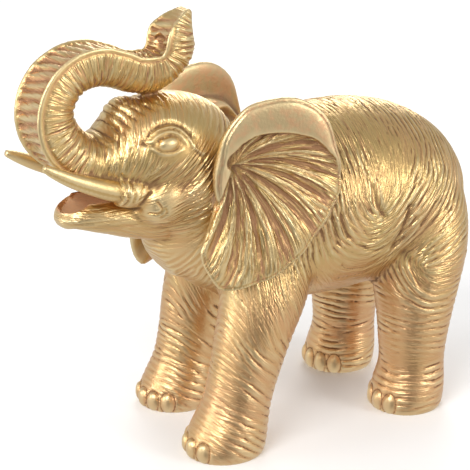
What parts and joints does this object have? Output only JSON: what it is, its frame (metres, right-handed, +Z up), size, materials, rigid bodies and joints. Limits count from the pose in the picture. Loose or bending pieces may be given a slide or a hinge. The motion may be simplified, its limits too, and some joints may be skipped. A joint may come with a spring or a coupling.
{
  "type": "resin elephant figurine",
  "caption": "Standing elephant figurine with a raised, curled trunk, tusks and fan-shaped ears, cast in one piece and painted gold; stands on a shelf as an ornament.",
  "frame": {"origin": "middle of the figurine's footprint box, on the surface it stands on", "axes": "+Z up, -X the way the head faces, +Y towards the elephant's right side"},
  "size_m": [0.1811, 0.0775, 0.1613],
  "materials": {
    "gold_paint": "satin metallic gold paint over cast resin, darker in the carved grooves and pinker low on the legs and belly"
  },
  "bodies": {
    "root": {"elephant_figurine": "gold_paint"}
  },
  "joints": []
}
